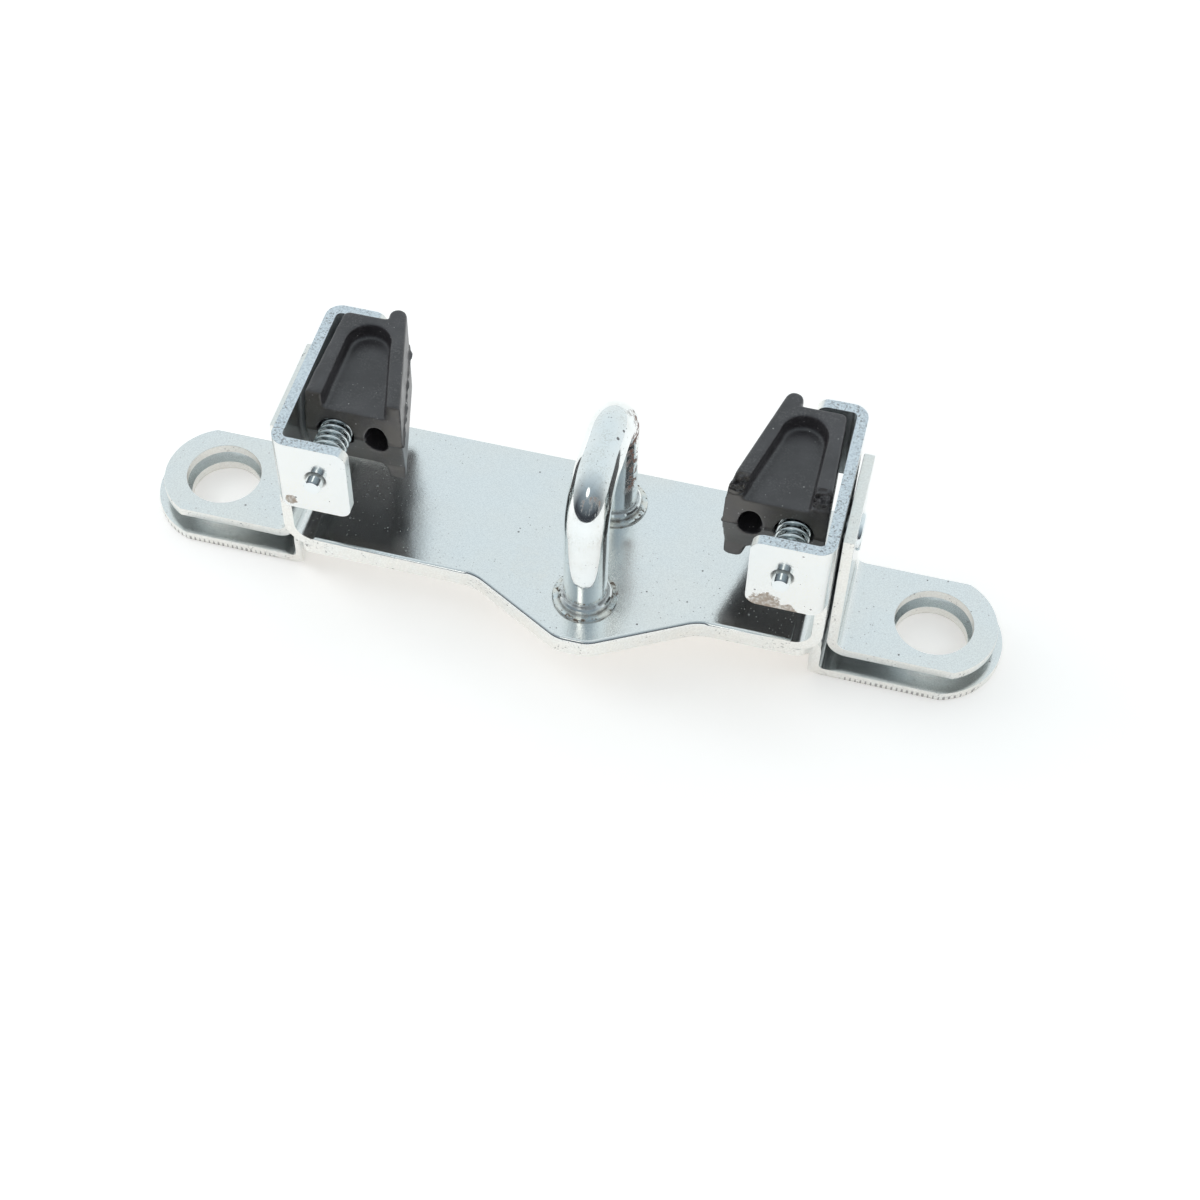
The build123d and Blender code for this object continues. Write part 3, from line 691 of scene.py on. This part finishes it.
def moulded(bm, grain):
    """The same form as one even skin, with every edge a little rounded."""
    mesh = bpy.data.meshes.new("wedge_skin")
    bm.to_mesh(mesh)
    bm.free()
    blank = bpy.data.objects.new("wedge_skin", mesh)
    bpy.context.scene.collection.objects.link(blank)
    remesh = blank.modifiers.new("Skin", "REMESH")
    remesh.mode = "VOXEL"
    remesh.voxel_size = grain
    skin = bpy.data.meshes.new_from_object(blank.evaluated_get(bpy.context.evaluated_depsgraph_get()))
    bpy.data.objects.remove(blank)
    bpy.data.meshes.remove(mesh)
    bm = bmesh.new()
    bm.from_mesh(skin)
    bpy.data.meshes.remove(skin)
    smooth(bm, bm.verts, 4)
    return bm


def soften_rims(bm, low, high):
    """Rounds the rims of the pocket, most of all their front ends."""
    ends = [v for v in bm.verts if v.co.y < low.y + RIM_END and v.co.z > high.z - RIM_HEIGHT]
    smooth(bm, ends, 14)
    side, top = RIM_TILT
    for _ in range(4):
        bm.normal_update()
        rims = [v for v in bm.verts if v.co.z > high.z - RIM_BORDER and side < v.normal.z < top]
        smooth(bm, rims, 4)


def tear_rims(bm, low, high):
    """Tears the front ends of the rims down and back."""
    for v in bm.verts:
        share = min(1, max(0, (low.y + TORN_END - v.co.y) / TORN_FADE))
        depth = v.co.z - (high.z - TORN_HEIGHT)
        if share > 0 and depth > 0:
            rough = noise.noise(v.co / (0.9 * MM)) + 0.5 * noise.noise(v.co / (0.4 * MM))
            v.co.z -= share * depth * (0.45 + 0.35 * rough)
            v.co.y += share * depth * (0.20 + 0.20 * rough)


def raise_flash(bm, towards):
    """Raises a thin ragged fin where the halves of the mould met, in front and on the sloping side."""
    bm.normal_update()
    moves = []
    for v in bm.verts:
        near = 1 - abs(v.co.z - PARTING_Z - FLASH_WANDER * noise.noise(v.co / (4 * MM))) / FLASH_HALF
        if near <= 0:
            continue
        front, slope = v.normal.y < -FACING, -v.normal.x * towards > FACING
        if front or slope:
            ragged = max(0, 0.75 + 0.6 * noise.noise(v.co / (1.1 * MM)))
            moves.append((v, v.normal * near * ragged * (FLASH_FRONT if front else FLASH_SLOPE)))
    for v, move in moves:
        v.co += move


# Studio

CAMERA_PLACE = Vector((62.244, -244.891, 324.790)) * MM
CAMERA_FORWARD = Vector((-0.16972, 0.58772, -0.79106))
CAMERA_UP = Vector((-0.20468, 0.76418, 0.61167))
PHOTO_SIDE = 1200           # pixels
FOCAL = 2160.19             # pixels
OPTICAL_CENTRE = (526.22, 572.41)   # pixels, from the top left corner
SENSOR = 36.0               # millimetres

SOFTBOXES = (               # name, place, side and watts
    ("Left softbox", (-1.0, 0.1, 0.75), 0.7, 3.5),
    ("Front softbox", (0.25, -1.1, 0.35), 0.8, 2.5),
)
FLOOR_GLOW = (1, 0.91, 0.83)
SKY = ((0.84, 0.90, 0.92), (0.76, 0.84, 0.875))             # low and high
ROOM = ((0.05, 0.055, 0.065), (0.36, 0.43, 0.48))           # low and high
WINDOW = (-0.15, -0.62, 0.77)                               # direction of the bright window in front
WINDOW_EDGE = (0.988, 0.993)                                # cosines between which it fades out
WINDOW_LIGHT = (1.6, 1.6, 1.55)
BACKDROP = (0.98, 0.98, 0.98)


class STRIKER_OT_studio(bpy.types.Operator):
    """White floor, soft light and the camera"""
    bl_idname = "striker.studio"
    bl_label = "Studio"

    def execute(self, context):
        add_floor()
        add_world()
        add_lights()
        add_camera()
        context.scene.view_settings.view_transform = "Standard"
        return {"FINISHED"}


def add_floor():
    """A white floor that gives off a little warm light, so that it stays white under the part."""
    bm = bmesh.new()
    bmesh.ops.create_grid(bm, x_segments=1, y_segments=1, size=2.0)
    mesh = bpy.data.meshes.new("studio_floor")
    bm.to_mesh(mesh)
    bm.free()
    n = Finish("White floor")
    n.shader.inputs["Base Color"].default_value = (*colours().floor, 1)
    n.shader.inputs["Roughness"].default_value = 0.6
    n.shader.inputs["Specular IOR Level"].default_value = 0.2
    n.shader.inputs["Emission Color"].default_value = (*FLOOR_GLOW, 1)
    n.shader.inputs["Emission Strength"].default_value = 0.34
    mesh.materials.append(n.material)
    floor = bpy.data.objects.new("studio_floor", mesh)
    bpy.context.scene.collection.objects.link(floor)


def add_world():
    """Pale blue-grey above and behind, and in front a dim room with one bright window.

    The backdrop itself is white.
    """
    world = bpy.data.worlds.new("Studio")
    world.use_nodes = True
    n = Nodes(world.node_tree, "Generated")
    up, back = n.axis("Z"), n.axis("Y")
    sky = n.mix(n.ramp(up, 0.1, 0.8), *SKY)
    room = n.mix(n.ramp(up, 0.15, 0.85), *ROOM)
    colour = n.mix(n.ramp(back, -0.55, 0.10), room, sky)
    window = n.add("ShaderNodeVectorMath", operation="DOT_PRODUCT")
    n.join(n.place, window.inputs[0])
    window.inputs[1].default_value = Vector(WINDOW).normalized()
    colour = n.mix(n.ramp(window.outputs["Value"], *WINDOW_EDGE), colour, WINDOW_LIGHT)
    seen = n.add("ShaderNodeLightPath").outputs["Is Camera Ray"]
    colour = n.mix(seen, colour, BACKDROP)
    background = world.node_tree.nodes["Background"]
    n.join(colour, background.inputs["Color"])
    background.inputs["Strength"].default_value = 1.0
    bpy.context.scene.world = world


def add_lights():
    """Two soft lamps that the plating doesn't mirror."""
    for name, place, size, power in SOFTBOXES:
        lamp = bpy.data.lights.new(name, "AREA")
        lamp.size = size
        lamp.energy = power
        lit = bpy.data.objects.new(name, lamp)
        lit.visible_glossy = False
        lit.location = place
        lit.rotation_euler = (-Vector(place)).to_track_quat("-Z", "Y").to_euler()
        bpy.context.scene.collection.objects.link(lit)


def add_camera():
    """The camera of the photo, from the fit to its edges."""
    data = bpy.data.cameras.new("Camera")
    data.sensor_width = SENSOR
    data.sensor_fit = "HORIZONTAL"
    data.lens = data.sensor_width * FOCAL / PHOTO_SIDE
    data.shift_x = (PHOTO_SIDE / 2 - OPTICAL_CENTRE[0]) / PHOTO_SIDE
    data.shift_y = (OPTICAL_CENTRE[1] - PHOTO_SIDE / 2) / PHOTO_SIDE
    data.clip_start = 0.01
    data.clip_end = 20
    camera = bpy.data.objects.new("Camera", data)
    back, up = -CAMERA_FORWARD.normalized(), CAMERA_UP.normalized()
    across = up.cross(back)
    turn = Matrix((across, up, back)).transposed()
    camera.matrix_world = Matrix.Translation(CAMERA_PLACE) @ turn.to_4x4()
    bpy.context.scene.collection.objects.link(camera)
    bpy.context.scene.camera = camera


class STRIKER_PT_panel(bpy.types.Panel):
    """Lists the pieces of the striker's finish"""
    bl_idname = "STRIKER_PT_panel"
    bl_label = "Door striker"
    bl_space_type = "VIEW_3D"
    bl_region_type = "UI"
    bl_category = "Striker"

    def draw(self, context):
        for group in (context.scene.striker_sizes, context.scene.striker_colours):
            for key in group.bl_rna.properties.keys():
                if key not in ("rna_type", "name"):
                    self.layout.prop(group, key)
        for operator in OPERATORS:
            self.layout.operator(operator.bl_idname)


OPERATORS = (STRIKER_OT_sheets, STRIKER_OT_bar, STRIKER_OT_fasteners, STRIKER_OT_springs, STRIKER_OT_wedges,
             STRIKER_OT_studio)
CLASSES = (StrikerSizes, StrikerColours, *OPERATORS, STRIKER_PT_panel)


def register():
    for item in CLASSES:
        bpy.utils.register_class(item)
    bpy.types.Scene.striker_sizes = PointerProperty(type=StrikerSizes)
    bpy.types.Scene.striker_colours = PointerProperty(type=StrikerColours)


def unregister():
    del bpy.types.Scene.striker_colours
    del bpy.types.Scene.striker_sizes
    for item in reversed(CLASSES):
        bpy.utils.unregister_class(item)


def main():
    register()
    bpy.ops.striker.sheets()
    bpy.ops.striker.bar()
    bpy.ops.striker.fasteners()
    bpy.ops.striker.springs()
    bpy.ops.striker.wedges()
    bpy.ops.striker.studio()


if __name__ == "__main__":
    main()
